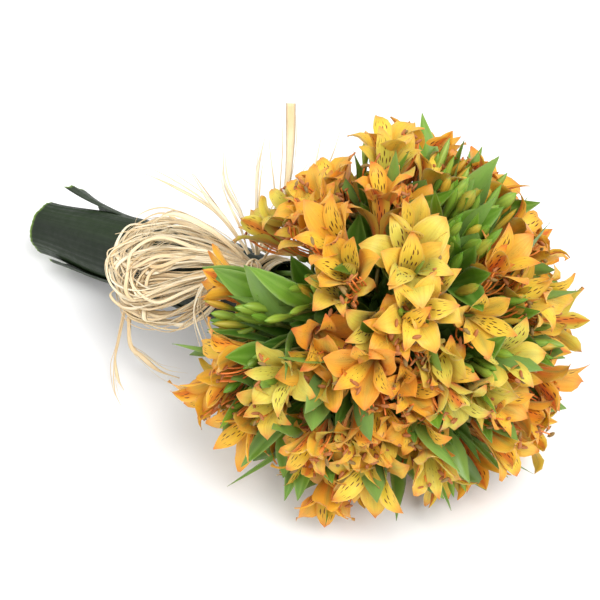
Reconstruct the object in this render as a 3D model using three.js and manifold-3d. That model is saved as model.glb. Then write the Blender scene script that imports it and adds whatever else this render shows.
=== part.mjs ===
// A hand-tied bouquet of alstroemerias, lying on its side on a flat surface. Millimetres, +Z up.
// Flowering stems run side by side through a handle wrapped in broad leaves, cross the tie at the neck, and fan
// out into a dome of florets, buds and leaves. A raffia bow sits on top of the neck.
import * as THREE from "three";
import { mergeVertices } from "three/addons/utils/BufferGeometryUtils.js";
import Module from "manifold-3d";

const wasm = await Module();
wasm.setup();

// Driving dimensions.
const STEM_COUNT = 24;
const FLORET_COUNT = 96; // before those over the bow are left out
const DOME_RADIUS = 138; // heart of the dome to the florets' mouths
const DOME_BACK_DEG = 113; // how far round from the front of the dome the last florets sit
const HUB_BACK_DEG = 92; // the same for the stems' tops
const DOME_TURN_DEG = 20; // the dome faces this far to the near side of the handle's line
const HUB_RADIUS = 5.5;
const HUB_SHARE = 0.36; // a stem branches this share of the way from the heart to its florets' mouths
const NECK_TO_HEART = 92; // the tie to the heart of the dome
const HANDLE_LENGTH = 232; // the stems' cut ends to the tie
const HANDLE_SLOPE_DEG = 12; // the handle rises towards the dome, which props it up
const HANDLE_END_HEIGHT = 27; // the handle's axis over the surface, at the cut ends
const STEM_RADIUS = 2.6;
const STEM_PACKING = 3.8; // stem n stands at this times the root of n from the handle's axis
const STEM_TWIST_DEG = 55; // the stems spiral this far from the tie to the cut ends
const LEAF_THICKNESS = 1.2;

// The florets.
const FLORET_LENGTH = 46;
const MOUTH_SHARE = 0.142; // a mouth's radius as a share of its distance from the heart
const PRESSED_IN = 2; // how far a floret's rim is pressed flat where the dome lies on the surface
const TIGHT_BUD_RADIUS = 7;
const BOW_SIDE = { polarDeg: 97, turnDeg: -39, spreadDeg: 16 }; // here the dome is open above the bow
const GREEN_SIDE = { polarDeg: 62, turnDeg: 20, spreadDeg: 21 }; // here the florets are still closed

// Buds and leaves that stand in the gaps between the florets.
const GAP_LATTICE = 1800;
const GAP_CLEARANCE_DEG = 9.8;
const GAP_SPACING_DEG = 15;
const LEAF_HALF_WIDTH = 5;

// The leaf wrap and the raffia.
const WRAP_INNER_RADIUS = 23.4;
const WRAP_PINCH = 2.2; // how far the wrap is drawn in at the cut ends
const WRAP_SWELL = 4; // how far it swells before the tie
const WRAP_GAP = 0.4;
const WRAP_PAST_TIE = 6;
const BAND_WIDTH = 15;
const BAND_THICKNESS = 3;
const KNOT_RADIUS = 8;
const KNOT_TURN_DEG = 25; // the knot sits this far to the near side of upright
const LOOP_RADIUS = 3.2;
const TAIL_RADIUS = 1;

const rad = THREE.MathUtils.degToRad;
const GOLDEN_ANGLE = Math.PI * (3 - Math.sqrt(5));

// The bouquet's own directions: along it towards the dome, across it, and square to both.
const ALONG = new THREE.Vector3(Math.cos(rad(HANDLE_SLOPE_DEG)), 0, Math.sin(rad(HANDLE_SLOPE_DEG)));
const ACROSS = new THREE.Vector3(0, 1, 0);
const UPRIGHT = new THREE.Vector3().crossVectors(ALONG, ACROSS);
const CUT_ENDS = new THREE.Vector3(0, 0, HANDLE_END_HEIGHT);
const TIE = CUT_ENDS.clone().addScaledVector(ALONG, HANDLE_LENGTH);
const HEART = TIE.clone().addScaledVector(ALONG, NECK_TO_HEART);

const COLOURS = {
  flower: 0xe8992a,
  wrap: 0x24361f,
  raffia: 0xdcc08c,
};

function material(colour) {
  return new THREE.MeshStandardMaterial({ color: colour, roughness: 0.6, metalness: 0 });
}

// A point given as distances along the axis from the cut ends, out from it, and turned from upright.
function roundAxis(along, radius, turn) {
  return CUT_ENDS.clone()
    .addScaledVector(ALONG, along)
    .addScaledVector(ACROSS, radius * Math.sin(turn))
    .addScaledVector(UPRIGHT, radius * Math.cos(turn));
}

// A direction from the heart, given by its angle from the front of the dome and its turn from upright.
function directionAt(polar, turn) {
  return new THREE.Vector3()
    .addScaledVector(ALONG, Math.cos(polar))
    .addScaledVector(ACROSS, Math.sin(polar) * Math.sin(turn))
    .addScaledVector(UPRIGHT, Math.sin(polar) * Math.cos(turn))
    .applyAxisAngle(UPRIGHT, -rad(DOME_TURN_DEG));
}

// Even spacing over the dome, from its front round to backDeg: direction index of count.
function domeDirection(index, count, backDeg) {
  const share = (index + 0.5) / count;
  const polar = Math.acos(1 - (1 - Math.cos(rad(backDeg))) * share);
  return directionAt(polar, index * GOLDEN_ANGLE);
}

// How far the dome reaches from its heart that way: a sphere, pressed flat where it lies on the surface.
function reach(direction) {
  const level = Math.sqrt(1 - direction.z ** 2);
  const fall = MOUTH_SHARE * level - direction.z;
  return fall > 0 ? Math.min(DOME_RADIUS, (HEART.z + PRESSED_IN) / fall) : DOME_RADIUS;
}

// Solids.

function solid(geometry) {
  const bare = geometry.clone();
  bare.deleteAttribute("normal");
  bare.deleteAttribute("uv");
  const merged = mergeVertices(bare, 1e-3);
  const mesh = new wasm.Mesh({
    numProp: 3,
    vertProperties: merged.attributes.position.array,
    triVerts: new Uint32Array(merged.index.array),
  });
  return new wasm.Manifold(mesh);
}

function geometryOf(manifold) {
  const mesh = manifold.getMesh();
  return new THREE.BufferGeometry()
    .setAttribute("position", new THREE.BufferAttribute(mesh.vertProperties, 3))
    .setIndex(new THREE.BufferAttribute(mesh.triVerts, 1));
}

function joined(geometries) {
  return geometries.map(solid).reduce((all, next) => all.add(next));
}

// A solid without what would lie under the surface.
function onSurface(manifold) {
  const room = new THREE.BoxGeometry(2000, 2000, 2000).translate(0, 0, 1000);
  return manifold.intersect(solid(room));
}

function tube(points, radius, sides, steps) {
  const section = new THREE.Shape(
    Array.from({ length: sides }, (_, i) => {
      const turn = (i / sides) * 2 * Math.PI;
      return new THREE.Vector2(radius * Math.cos(turn), radius * Math.sin(turn));
    }),
  );
  const path = points.length === 2 ? new THREE.LineCurve3(...points) : new THREE.CatmullRomCurve3(points);
  return new THREE.ExtrudeGeometry(section, { steps, extrudePath: path });
}

// A turned shape whose profile is [radius, height] pairs, stood on base and pointing that way.
function turned(profile, sides, base, direction, roll = 0) {
  const points = profile.map(([radius, height]) => new THREE.Vector2(radius, height));
  const upwards = new THREE.Quaternion().setFromUnitVectors(new THREE.Vector3(0, 1, 0), direction);
  return new THREE.LatheGeometry(points, sides)
    .rotateY(roll)
    .applyQuaternion(upwards)
    .translate(base.x, base.y, base.z);
}

// The flowering stems.

// An open floret: a throat that widens into six flaring tepals round a hollow mouth.
function openFloret(base, direction, mouthRadius, roll) {
  const profile = [
    [0, 0],
    [4, 14],
    [mouthRadius, FLORET_LENGTH],
    [0, FLORET_LENGTH - 14],
  ];
  return turned(profile, 5, base, direction, roll);
}

function bud(base, direction, length, radius) {
  const profile = [
    [0, 0],
    [radius, length * 0.5],
    [0, length],
  ];
  return turned(profile, 5, base, direction);
}

// A blade with a lens-shaped section, from base to tip.
function leafBlade(base, tip, halfWidth, roll) {
  const length = base.distanceTo(tip);
  const direction = tip.clone().sub(base).divideScalar(length);
  const profile = [
    [0, 0],
    [halfWidth, length * 0.45],
    [0, length],
  ];
  const points = profile.map(([radius, height]) => new THREE.Vector2(radius, height));
  const upwards = new THREE.Quaternion().setFromUnitVectors(new THREE.Vector3(0, 1, 0), direction);
  return new THREE.LatheGeometry(points, 4)
    .scale(1, 1, LEAF_THICKNESS / halfWidth)
    .rotateY(roll)
    .applyQuaternion(upwards)
    .translate(base.x, base.y, base.z);
}

const stemDirections = Array.from({ length: STEM_COUNT }, (_, i) => domeDirection(i, STEM_COUNT, HUB_BACK_DEG));
const bowSide = directionAt(rad(BOW_SIDE.polarDeg), rad(BOW_SIDE.turnDeg));
const greenSide = directionAt(rad(GREEN_SIDE.polarDeg), rad(GREEN_SIDE.turnDeg));
const floretDirections = Array.from({ length: FLORET_COUNT }, (_, i) =>
  domeDirection(i, FLORET_COUNT, DOME_BACK_DEG),
).filter((direction) => direction.angleTo(bowSide) > rad(BOW_SIDE.spreadDeg));

function nearest(direction, choices) {
  const closeness = choices.map((choice) => choice.dot(direction));
  return closeness.indexOf(Math.max(...closeness));
}

// Each floret grows on the stem that points most nearly its way.
const floretsOf = stemDirections.map(() => []);
for (const direction of floretDirections) floretsOf[nearest(direction, stemDirections)].push(direction);

// Directions in the gaps between florets, each given to the stem that points most nearly its way.
const gapDirections = [];
for (let i = 0; i < GAP_LATTICE; i++) {
  const direction = domeDirection(i, GAP_LATTICE, DOME_BACK_DEG);
  const offFlorets = floretDirections.every((other) => other.angleTo(direction) > rad(GAP_CLEARANCE_DEG));
  const offGaps = gapDirections.every((other) => other.angleTo(direction) > rad(GAP_SPACING_DEG));
  const offBow = direction.angleTo(bowSide) > rad(BOW_SIDE.spreadDeg);
  if (offFlorets && offGaps && offBow) gapDirections.push(direction);
}
const gapsOf = stemDirections.map(() => []);
for (const direction of gapDirections) gapsOf[nearest(direction, stemDirections)].push(direction);

function floweringStem(index) {
  const turn = index * GOLDEN_ANGLE;
  const outFromAxis = STEM_PACKING * Math.sqrt(index + 0.5);
  const direction = stemDirections[index];
  const hub = HEART.clone().addScaledVector(direction, HUB_SHARE * reach(direction));
  const route = [0, 0.35, 0.7, 1].map((share) =>
    roundAxis(share * HANDLE_LENGTH, outFromAxis, turn + rad(STEM_TWIST_DEG) * (1 - share)),
  );
  const pieces = [tube([...route, hub], STEM_RADIUS, 4, 6), new THREE.IcosahedronGeometry(HUB_RADIUS).translate(...hub)];

  floretsOf[index].forEach((way, n) => {
    const base = HEART.clone().addScaledVector(way, reach(way) - FLORET_LENGTH);
    const pedicelEnd = base.clone().addScaledVector(way, 4);
    pieces.push(tube([hub, pedicelEnd], 1.7, 3, 1));
    if (way.angleTo(greenSide) < rad(GREEN_SIDE.spreadDeg)) {
      pieces.push(bud(base, way, FLORET_LENGTH, TIGHT_BUD_RADIUS));
    } else {
      pieces.push(openFloret(base, way, MOUTH_SHARE * reach(way), n));
    }
  });

  gapsOf[index].forEach((way, n) => {
    if (n % 2 === 0) {
      const tip = HEART.clone().addScaledVector(way, reach(way) + 4);
      pieces.push(leafBlade(hub, tip, LEAF_HALF_WIDTH, index + n));
    } else {
      const base = HEART.clone().addScaledVector(way, reach(way) - 36);
      const pedicelEnd = base.clone().addScaledVector(way, 4);
      pieces.push(tube([hub, pedicelEnd], 1.5, 3, 1), bud(base, way, 26, 3.6));
    }
  });
  return onSurface(joined(pieces));
}

// The leaf wrap: broad leaves rolled round the handle.

// A closed sheet. place(s, t, layer) gives a point, s and t running from 0 to 1, layer 0 inside and 1 outside.
function sheet(place, columns, rows) {
  const positions = [];
  const indices = [];
  const at = (i, j, layer) => (layer * (columns + 1) + i) * (rows + 1) + j;
  for (const layer of [0, 1]) {
    for (let i = 0; i <= columns; i++) {
      for (let j = 0; j <= rows; j++) positions.push(...place(i / columns, j / rows, layer));
    }
  }
  const quad = (a, b, c, d) => indices.push(a, b, c, a, c, d);
  for (let i = 0; i < columns; i++) {
    for (let j = 0; j < rows; j++) {
      quad(at(i, j, 1), at(i + 1, j, 1), at(i + 1, j + 1, 1), at(i, j + 1, 1));
      quad(at(i, j, 0), at(i, j + 1, 0), at(i + 1, j + 1, 0), at(i + 1, j, 0));
    }
  }
  for (let i = 0; i < columns; i++) {
    quad(at(i, 0, 0), at(i + 1, 0, 0), at(i + 1, 0, 1), at(i, 0, 1));
    quad(at(i, rows, 1), at(i + 1, rows, 1), at(i + 1, rows, 0), at(i, rows, 0));
  }
  for (let j = 0; j < rows; j++) {
    quad(at(0, j, 1), at(0, j + 1, 1), at(0, j + 1, 0), at(0, j, 0));
    quad(at(columns, j, 0), at(columns, j + 1, 0), at(columns, j + 1, 1), at(columns, j, 1));
  }
  return new THREE.BufferGeometry()
    .setAttribute("position", new THREE.Float32BufferAttribute(positions, 3))
    .setIndex(indices);
}

// A leaf rolled round the handle, from startAlong to the tie and a little past it. fromDeg to toDeg is how much of
// the way round it covers, counted from upright towards the far side. It may flare out at its free end.
// How far the wrap stands out from an even tube: it is drawn in at the cut ends and swells towards the tie.
function wrapSwell(along) {
  const pinch = 1 - THREE.MathUtils.smoothstep(along, 0, 70);
  const rise = THREE.MathUtils.smoothstep(along, 40, 165);
  const fall = THREE.MathUtils.smoothstep(along, 180, 222);
  return WRAP_SWELL * rise * (1 - fall) - WRAP_PINCH * pinch;
}

function wrapLeaf({ startAlong, fromDeg, toDeg, layer, flare, flareLength }) {
  const inner = WRAP_INNER_RADIUS + layer * (LEAF_THICKNESS + WRAP_GAP);
  const endAlong = HANDLE_LENGTH + WRAP_PAST_TIE;
  const place = (s, t, outside) => {
    const along = THREE.MathUtils.lerp(startAlong, endAlong, s);
    const open = Math.max(0, 1 - (along - startAlong) / flareLength);
    const even = inner + outside * LEAF_THICKNESS + flare * open ** 2;
    const radius = even + wrapSwell(along);
    const turn = rad(THREE.MathUtils.lerp(fromDeg, toDeg, t));
    return roundAxis(along, radius, turn);
  };
  const columns = 12;
  const rows = Math.round(Math.abs(toDeg - fromDeg) / 18);
  return onSurface(solid(sheet(place, columns, rows)));
}

const WRAP_LEAVES = {
  wrap_leaf_front: { startAlong: -2, fromDeg: -150, toDeg: 52, layer: 1, flare: 0.5, flareLength: 60 },
  wrap_leaf_under: { startAlong: 14, fromDeg: -238, toDeg: -118, layer: 2, flare: 1.5, flareLength: 90 },
  wrap_leaf_back: { startAlong: 14, fromDeg: 56, toDeg: 118, layer: 0, flare: 20, flareLength: 85 },
};

// The raffia: a band of turns round the neck, a knot with a bow of loops on top of it, and loose tails.

const BAND_INNER_RADIUS = WRAP_INNER_RADIUS + 3 * (LEAF_THICKNESS + WRAP_GAP) + 0.5;
const KNOT = roundAxis(HANDLE_LENGTH, BAND_INNER_RADIUS + BAND_THICKNESS + KNOT_RADIUS, -rad(KNOT_TURN_DEG));

// A point from the knot, given as [towards the cut ends, towards the near side, up].
function fromKnot([back, near, up]) {
  return KNOT.clone().addScaledVector(ALONG, -back).addScaledVector(ACROSS, -near).addScaledVector(UPRIGHT, up);
}

function raffiaBand() {
  const outer = BAND_INNER_RADIUS + BAND_THICKNESS;
  const half = BAND_WIDTH / 2;
  const profile = [
    [BAND_INNER_RADIUS, -half],
    [outer - 0.8, -half],
    [outer, -half + 2],
    [outer, half - 2],
    [outer - 0.8, half],
    [BAND_INNER_RADIUS, half],
    [BAND_INNER_RADIUS, -half],
  ];
  return turned(profile, 24, TIE, ALONG);
}

// The loops, each from the knot out towards the cut ends, down the near side and back.
const BOW_LOOPS = [
  [[3, 0, 0], [39, -14, 7], [67, -13, 8], [92, -12, 7], [113, 2, 2], [113, 22, -4], [71, 16, 0], [3, 0, 0]],
  [[3, 0, 0], [49, 1, 8], [94, 6, 7], [116, 30, -3], [101, 45, -12], [77, 48, -14], [29, 16, -5], [3, 0, 0]],
  [[3, 0, 0], [40, 24, -16], [80, 32, -20], [99, 43, -28], [87, 52, -36], [64, 47, -38], [44, 34, -31], [3, 0, -2]],
];

function raffiaBow() {
  const loops = BOW_LOOPS.map((points) => tube(points.map(fromKnot), LOOP_RADIUS, 5, 18));
  const knot = new THREE.IcosahedronGeometry(KNOT_RADIUS - 0.5, 1).translate(...KNOT);
  return onSurface(joined([knot, ...loops]));
}

// The loose ends of the strands.
const RAFFIA_TAILS = {
  raffia_tail_floor_wide: [[90, 57, -43], [86, 60, -53], [79, 59, -64], [70, 55, -78], [60, 46, -90]],
  raffia_tail_floor_thin: [[98, 56, -42], [97, 63, -54], [100, 68, -68], [96, 74, -80], [91, 76, -88]],
  raffia_tail_near: [[9, 9, 4], [20, 26, 6], [26, 42, -12], [26, 44, -45], [20, 44, -76], [16, 44, -90]],
  raffia_tail_arch: [[9, -2, 6], [34, -2, 24], [62, 1, 34], [80, 6, 26], [90, 12, 10]],
  raffia_tail_level: [[11, -6, 9], [36, -7, 16], [64, -4, 22], [84, 2, 20], [102, 8, 16]],
  raffia_tail_back_low: [[7, -6, 8], [38, -14, 32], [72, -14, 46], [100, -12, 54]],
  raffia_tail_back_mid: [[4, -3, 10], [18, -6, 30], [38, -10, 48], [52, -16, 60]],
  raffia_tail_back_high: [[2, -7, 9], [12, -14, 34], [24, -18, 56], [30, -30, 74]],
  raffia_tail_up_thin: [[-2, -4, 10], [-2, -14, 38], [2, -30, 64], [0, -46, 88]],
  raffia_tail_up_wide: [[-3, -10, 9], [-10, -28, 28], [-17, -36, 54], [-18, -47, 80], [-16, -59, 106]],
  raffia_tail_far_mid: [[2, -10, 5], [4, -38, 22], [-2, -60, 34], [-4, -82, 42]],
  raffia_tail_far_long: [[-3, -10, 3], [-8, -44, 18], [-6, -80, 34], [4, -112, 46]],
};

function raffiaTail(points) {
  return tube(points.map(fromKnot), TAIL_RADIUS, 4, 7);
}

// Assembly.

const bouquet = new THREE.Group();

function add(name, geometry, colour) {
  const mesh = new THREE.Mesh(geometry, material(colour));
  mesh.name = name;
  bouquet.add(mesh);
}

for (let i = 0; i < STEM_COUNT; i++) {
  const name = `alstroemeria_${String(i + 1).padStart(2, "0")}`;
  add(name, geometryOf(floweringStem(i)), COLOURS.flower);
}
for (const [name, leaf] of Object.entries(WRAP_LEAVES)) add(name, geometryOf(wrapLeaf(leaf)), COLOURS.wrap);
add("raffia_band", raffiaBand(), COLOURS.raffia);
add("raffia_bow", geometryOf(raffiaBow()), COLOURS.raffia);
for (const [name, points] of Object.entries(RAFFIA_TAILS)) add(name, raffiaTail(points), COLOURS.raffia);

// The origin is the bottom centre of the whole.
const box = new THREE.Box3().setFromObject(bouquet);
const middle = box.getCenter(new THREE.Vector3());
bouquet.position.set(-middle.x, -middle.y, -box.min.z);

export default bouquet;
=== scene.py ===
"""A hand-tied bouquet of alstroemerias lying on a pale floor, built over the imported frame. Metres, +Z up."""

import math

import bpy
import numpy as np
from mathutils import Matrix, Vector


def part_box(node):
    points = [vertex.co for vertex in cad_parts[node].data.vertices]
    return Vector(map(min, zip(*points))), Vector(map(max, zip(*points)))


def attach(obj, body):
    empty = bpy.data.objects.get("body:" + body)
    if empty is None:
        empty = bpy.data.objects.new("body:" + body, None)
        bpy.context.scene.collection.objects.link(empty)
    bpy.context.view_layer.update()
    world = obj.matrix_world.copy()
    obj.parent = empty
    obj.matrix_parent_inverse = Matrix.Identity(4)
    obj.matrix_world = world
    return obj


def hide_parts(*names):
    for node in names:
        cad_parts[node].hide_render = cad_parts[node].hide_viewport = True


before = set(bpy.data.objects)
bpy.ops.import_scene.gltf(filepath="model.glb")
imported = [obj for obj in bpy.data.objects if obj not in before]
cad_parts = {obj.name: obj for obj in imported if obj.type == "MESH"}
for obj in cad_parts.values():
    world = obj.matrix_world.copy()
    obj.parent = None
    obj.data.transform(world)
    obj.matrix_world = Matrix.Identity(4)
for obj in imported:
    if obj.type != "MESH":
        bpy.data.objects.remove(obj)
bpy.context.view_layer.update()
rng = np.random.default_rng(20)

# The layout, the same as the frame's.
STEM_COUNT = 24
FLORET_COUNT = 96
DOME_RADIUS = 0.138
DOME_BACK = math.radians(113)
HUB_BACK = math.radians(92)
DOME_TURN = math.radians(20)
HUB_SHARE = 0.36
NECK_TO_HEART = 0.092
HANDLE_LENGTH = 0.232
SLOPE = math.radians(12)
STEM_PACKING = 0.0038
STEM_RADIUS = 0.0026
STEM_TWIST = math.radians(55)
FLORET_LENGTH = 0.046
MOUTH_SHARE = 0.142
PRESSED_IN = 0.002
GREEN_SIDE = (math.radians(62), math.radians(20))
GREEN_SPREAD = math.radians(21)
BOW_SIDE = (math.radians(97), math.radians(-39))
BOW_SPREAD = math.radians(16)
GAP_CLEARANCE = math.radians(8.4)
GAP_SPACING = math.radians(9)
WRAP_INNER_RADIUS = 0.0234
LEAF_LAYER = 0.0016
BAND_WIDTH = 0.015
GOLDEN_ANGLE = math.pi * (3 - math.sqrt(5))

ALONG = np.array([math.cos(SLOPE), 0, math.sin(SLOPE)])
ACROSS = np.array([0.0, 1, 0])
UPRIGHT = np.cross(ALONG, ACROSS)
band_low, band_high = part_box("raffia_band")
TIE = np.array((band_low + band_high) / 2)
HEART = TIE + NECK_TO_HEART * ALONG
CUT_ENDS = TIE - HANDLE_LENGTH * ALONG
BAND_RADIUS = WRAP_INNER_RADIUS + 3 * LEAF_LAYER + 0.002
KNOT_TURN = math.radians(-25)


def unit(v):
    v = np.asarray(v, float)
    return v / np.linalg.norm(v, axis=-1, keepdims=True)


def smooth(x, low, high):
    x = np.clip((np.asarray(x, float) - low) / (high - low), 0, 1)
    return x * x * (3 - 2 * x)


def srgb(r, g, b):
    c = np.array([r, g, b]) / 255
    return np.where(c <= 0.04045, c / 12.92, ((c + 0.055) / 1.055) ** 2.4)


def round_axis(along, radius, turn):
    """A point by its distance along the handle from the cut ends, out from it, and turned from upright."""
    along, radius, turn = np.broadcast_arrays(along, radius, turn)
    return (
        CUT_ENDS
        + along[..., None] * ALONG
        + (radius * np.sin(turn))[..., None] * ACROSS
        + (radius * np.cos(turn))[..., None] * UPRIGHT
    )


def direction_at(polar, turn):
    a, b, c = math.cos(polar), math.sin(polar) * math.sin(turn), math.sin(polar) * math.cos(turn)
    cos, sin = math.cos(DOME_TURN), math.sin(DOME_TURN)
    return (a * cos + b * sin) * ALONG + (b * cos - a * sin) * ACROSS + c * UPRIGHT


def dome_direction(index, count, back):
    polar = math.acos(1 - (1 - math.cos(back)) * (index + 0.5) / count)
    return direction_at(polar, index * GOLDEN_ANGLE)


def reach(direction):
    level = math.sqrt(max(0, 1 - direction[2] ** 2))
    fall = MOUTH_SHARE * level - direction[2]
    return min(DOME_RADIUS, (HEART[2] + PRESSED_IN) / fall) if fall > 0 else DOME_RADIUS


def angle_between(a, b):
    return math.acos(max(-1, min(1, float(np.dot(a, b)))))


def axes_for(direction, top):
    """Three columns: side, top, direction."""
    side = unit(np.cross(top, direction))
    return np.stack([side, np.cross(direction, side), direction], axis=1)


# ---------------------------------------------------------------- meshes


class Shape:
    """Gathers grids of points into one mesh, with a colour and a coordinate at each point."""

    def __init__(self):
        self.points, self.tints, self.coords, self.faces, self.count = [], [], [], [], 0

    def add(self, points, faces, tint, coord):
        n = len(points)
        self.points.append(points)
        self.tints.append(np.broadcast_to(tint, (n, 3)))
        self.coords.append(np.broadcast_to(coord, (n, 3)))
        self.faces.append(np.asarray(faces) + self.count)
        self.count += n

    def build(self, name, material, smooth_shaded=True):
        points = np.concatenate(self.points).astype(np.float32)
        points[:, 2] = np.maximum(points[:, 2], 0.0006)
        faces = np.concatenate(self.faces).astype(np.int32)
        mesh = bpy.data.meshes.new(name)
        mesh.vertices.add(len(points))
        mesh.vertices.foreach_set("co", points.ravel())
        mesh.loops.add(faces.size)
        mesh.loops.foreach_set("vertex_index", faces.ravel())
        mesh.polygons.add(len(faces))
        mesh.polygons.foreach_set("loop_start", np.arange(0, faces.size, 4, dtype=np.int32))
        mesh.polygons.foreach_set("use_smooth", np.full(len(faces), smooth_shaded))
        tint = mesh.attributes.new("tint", "FLOAT_VECTOR", "POINT")
        tint.data.foreach_set("vector", np.concatenate(self.tints).astype(np.float32).ravel())
        coord = mesh.attributes.new("coord", "FLOAT_VECTOR", "POINT")
        coord.data.foreach_set("vector", np.concatenate(self.coords).astype(np.float32).ravel())
        mesh.update(calc_edges=True)
        mesh.validate()
        piece = bpy.data.objects.new(name, mesh)
        bpy.context.scene.collection.objects.link(piece)
        mesh.materials.append(material)
        return piece


def add_sheet(shape, grid, normal, thickness, tint_front, tint_back, coord):
    """A closed sheet of rows x columns x 3 points. Its back layer lies thickness behind, 0 at the border."""
    rows, columns = grid.shape[:2]
    front = np.arange(rows * columns).reshape(rows, columns)
    quads = np.stack([front[:-1, :-1], front[:-1, 1:], front[1:, 1:], front[1:, :-1]], axis=-1).reshape(-1, 4)
    points = np.concatenate([grid.reshape(-1, 3), (grid - normal * thickness).reshape(-1, 3)])
    tint = np.concatenate([tint_front.reshape(-1, 3), tint_back.reshape(-1, 3)])
    coords = np.concatenate([coord.reshape(-1, 3)] * 2)
    shape.add(points, np.concatenate([quads, quads[:, ::-1] + front.size]), tint, coords)


def grid_normals(grid):
    n = np.cross(np.gradient(grid, axis=0), np.gradient(grid, axis=1))
    length = np.linalg.norm(n, axis=-1, keepdims=True)
    return n / np.maximum(length, 1e-12)


def spline(points, count):
    """Points evenly spaced in parameter along a Catmull-Rom curve."""
    p = np.asarray(points, float)
    p = np.concatenate([[2 * p[0] - p[1]], p, [2 * p[-1] - p[-2]]])
    u = np.linspace(0, len(p) - 3 - 1e-9, count)
    i = u.astype(int)
    f = (u - i)[:, None]
    a, b, c, d = p[i], p[i + 1], p[i + 2], p[i + 3]
    return 0.5 * (2 * b + (c - a) * f + (2 * a - 5 * b + 4 * c - d) * f**2 + (3 * b - a - 3 * c + d) * f**3)


def path_axes(path, hint):
    """Tangent, side and upper directions along a path, carried along without twist from hint."""
    tangent = unit(np.gradient(path, axis=0))
    side = np.empty_like(tangent)
    current = np.asarray(hint, float)
    for i, t in enumerate(tangent):
        current = current - t * np.dot(current, t)
        current = unit(current)
        side[i] = current
    return tangent, side, np.cross(tangent, side)


def add_tube(shape, path, radii, sides, tint, hint=(0.3, 0.5, 0.8), flat=1.0, coord_scale=1.0):
    """A closed tube. flat under 1 makes its section an ellipse."""
    path = np.asarray(path, float)
    radii = np.broadcast_to(radii, (len(path),))
    _, side, upper = path_axes(path, hint)
    turn = np.linspace(0, 2 * math.pi, sides, endpoint=False)
    sideways, upwards = np.cos(turn)[None, :, None], flat * np.sin(turn)[None, :, None]
    ring = sideways * side[:, None, :] + upwards * upper[:, None, :]
    grid = path[:, None, :] + radii[:, None, None] * ring
    points = np.concatenate([grid.reshape(-1, 3), path[:1], path[-1:]])
    n = len(path)
    index = np.arange(n * sides).reshape(n, sides)
    nxt = np.roll(index, -1, axis=1)
    quads = [np.stack([index[:-1], nxt[:-1], nxt[1:], index[1:]], axis=-1).reshape(-1, 4)]
    for row, centre, flip in ((index[0], n * sides, True), (index[-1], n * sides + 1, False)):
        pairs = row[::2], np.roll(row, -1)[::2], np.roll(row, -2)[::2]
        fan = np.stack([np.full(len(pairs[0]), centre), *pairs], axis=-1)
        quads.append(fan[:, ::-1] if flip else fan)
    length = np.concatenate([[0], np.cumsum(np.linalg.norm(np.diff(path, axis=0), axis=1))])
    coord = np.zeros((len(points), 3))
    coord[: n * sides, 0] = np.tile(turn / math.pi - 1, n)
    coord[: n * sides, 1] = np.repeat(length / max(length[-1], 1e-9), sides) * coord_scale
    coord[-1, 1] = coord_scale
    tint = np.asarray(tint, float)
    if tint.ndim == 2:
        tint = np.concatenate([np.repeat(tint, sides, axis=0), tint[:1], tint[-1:]])
    shape.add(points, np.concatenate(quads), tint, coord)


# ---------------------------------------------------------------- materials


FLECK = srgb(74, 20, 16)


class Graph:
    """A material's node tree, with short ways to add to it."""

    def __init__(self, name):
        self.material = bpy.data.materials.new(name)
        self.material.use_nodes = True
        self.tree = self.material.node_tree
        self.tree.nodes.clear()
        self.surface = self.add("ShaderNodeBsdfPrincipled")
        output = self.add("ShaderNodeOutputMaterial")
        self.tree.links.new(self.surface.outputs[0], output.inputs[0])

    def add(self, kind, inputs=None, **settings):
        node = self.tree.nodes.new(kind)
        for key, value in settings.items():
            setattr(node, key, value)
        for key, value in (inputs or {}).items():
            self.put(node.inputs[key], value)
        return node

    def put(self, socket, value):
        if isinstance(value, bpy.types.NodeSocket):
            self.tree.links.new(value, socket)
        elif isinstance(value, bpy.types.Node):
            self.tree.links.new(value.outputs[0], socket)
        else:
            socket.default_value = value

    def math(self, operation, a, b=0.0, c=0.0):
        return self.add("ShaderNodeMath", {0: a, 1: b, 2: c}, operation=operation).outputs[0]

    def attribute(self, name):
        return self.add("ShaderNodeAttribute", attribute_name=name).outputs["Vector"]

    def split(self, vector):
        return self.add("ShaderNodeSeparateXYZ", {0: vector}).outputs

    def join(self, x, y, z=0.0):
        return self.add("ShaderNodeCombineXYZ", {0: x, 1: y, 2: z}).outputs[0]

    def noise(self, vector, scale, detail=2.0, roughness=0.5):
        settings = {"Vector": vector, "Scale": scale, "Detail": detail, "Roughness": roughness}
        return self.add("ShaderNodeTexNoise", settings).outputs[0]

    def span(self, value, low, high, to_low=0.0, to_high=1.0):
        node = self.add(
            "ShaderNodeMapRange",
            {"Value": value, "From Min": low, "From Max": high, "To Min": to_low, "To Max": to_high},
            interpolation_type="SMOOTHSTEP",
        )
        return node.outputs[0]

    def mix(self, factor, a, b, blend="MIX"):
        node = self.add("ShaderNodeMix", data_type="RGBA", blend_type=blend)
        self.put(node.inputs[0], factor)
        for socket, value in ((node.inputs[6], a), (node.inputs[7], b)):
            self.put(socket, (*value, 1) if isinstance(value, (tuple, np.ndarray)) else value)
        return node.outputs[2]

    def bump(self, height, strength, distance):
        settings = {"Height": height, "Strength": strength, "Distance": distance}
        return self.add("ShaderNodeBump", settings).outputs[0]

    def finish(self, colour, roughness, normal=None, **more):
        self.put(self.surface.inputs["Base Color"], colour)
        self.put(self.surface.inputs["Roughness"], roughness)
        if normal is not None:
            self.put(self.surface.inputs["Normal"], normal)
        for key, value in more.items():
            self.put(self.surface.inputs[key.replace("_", " ")], value)
        return self.material


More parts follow.
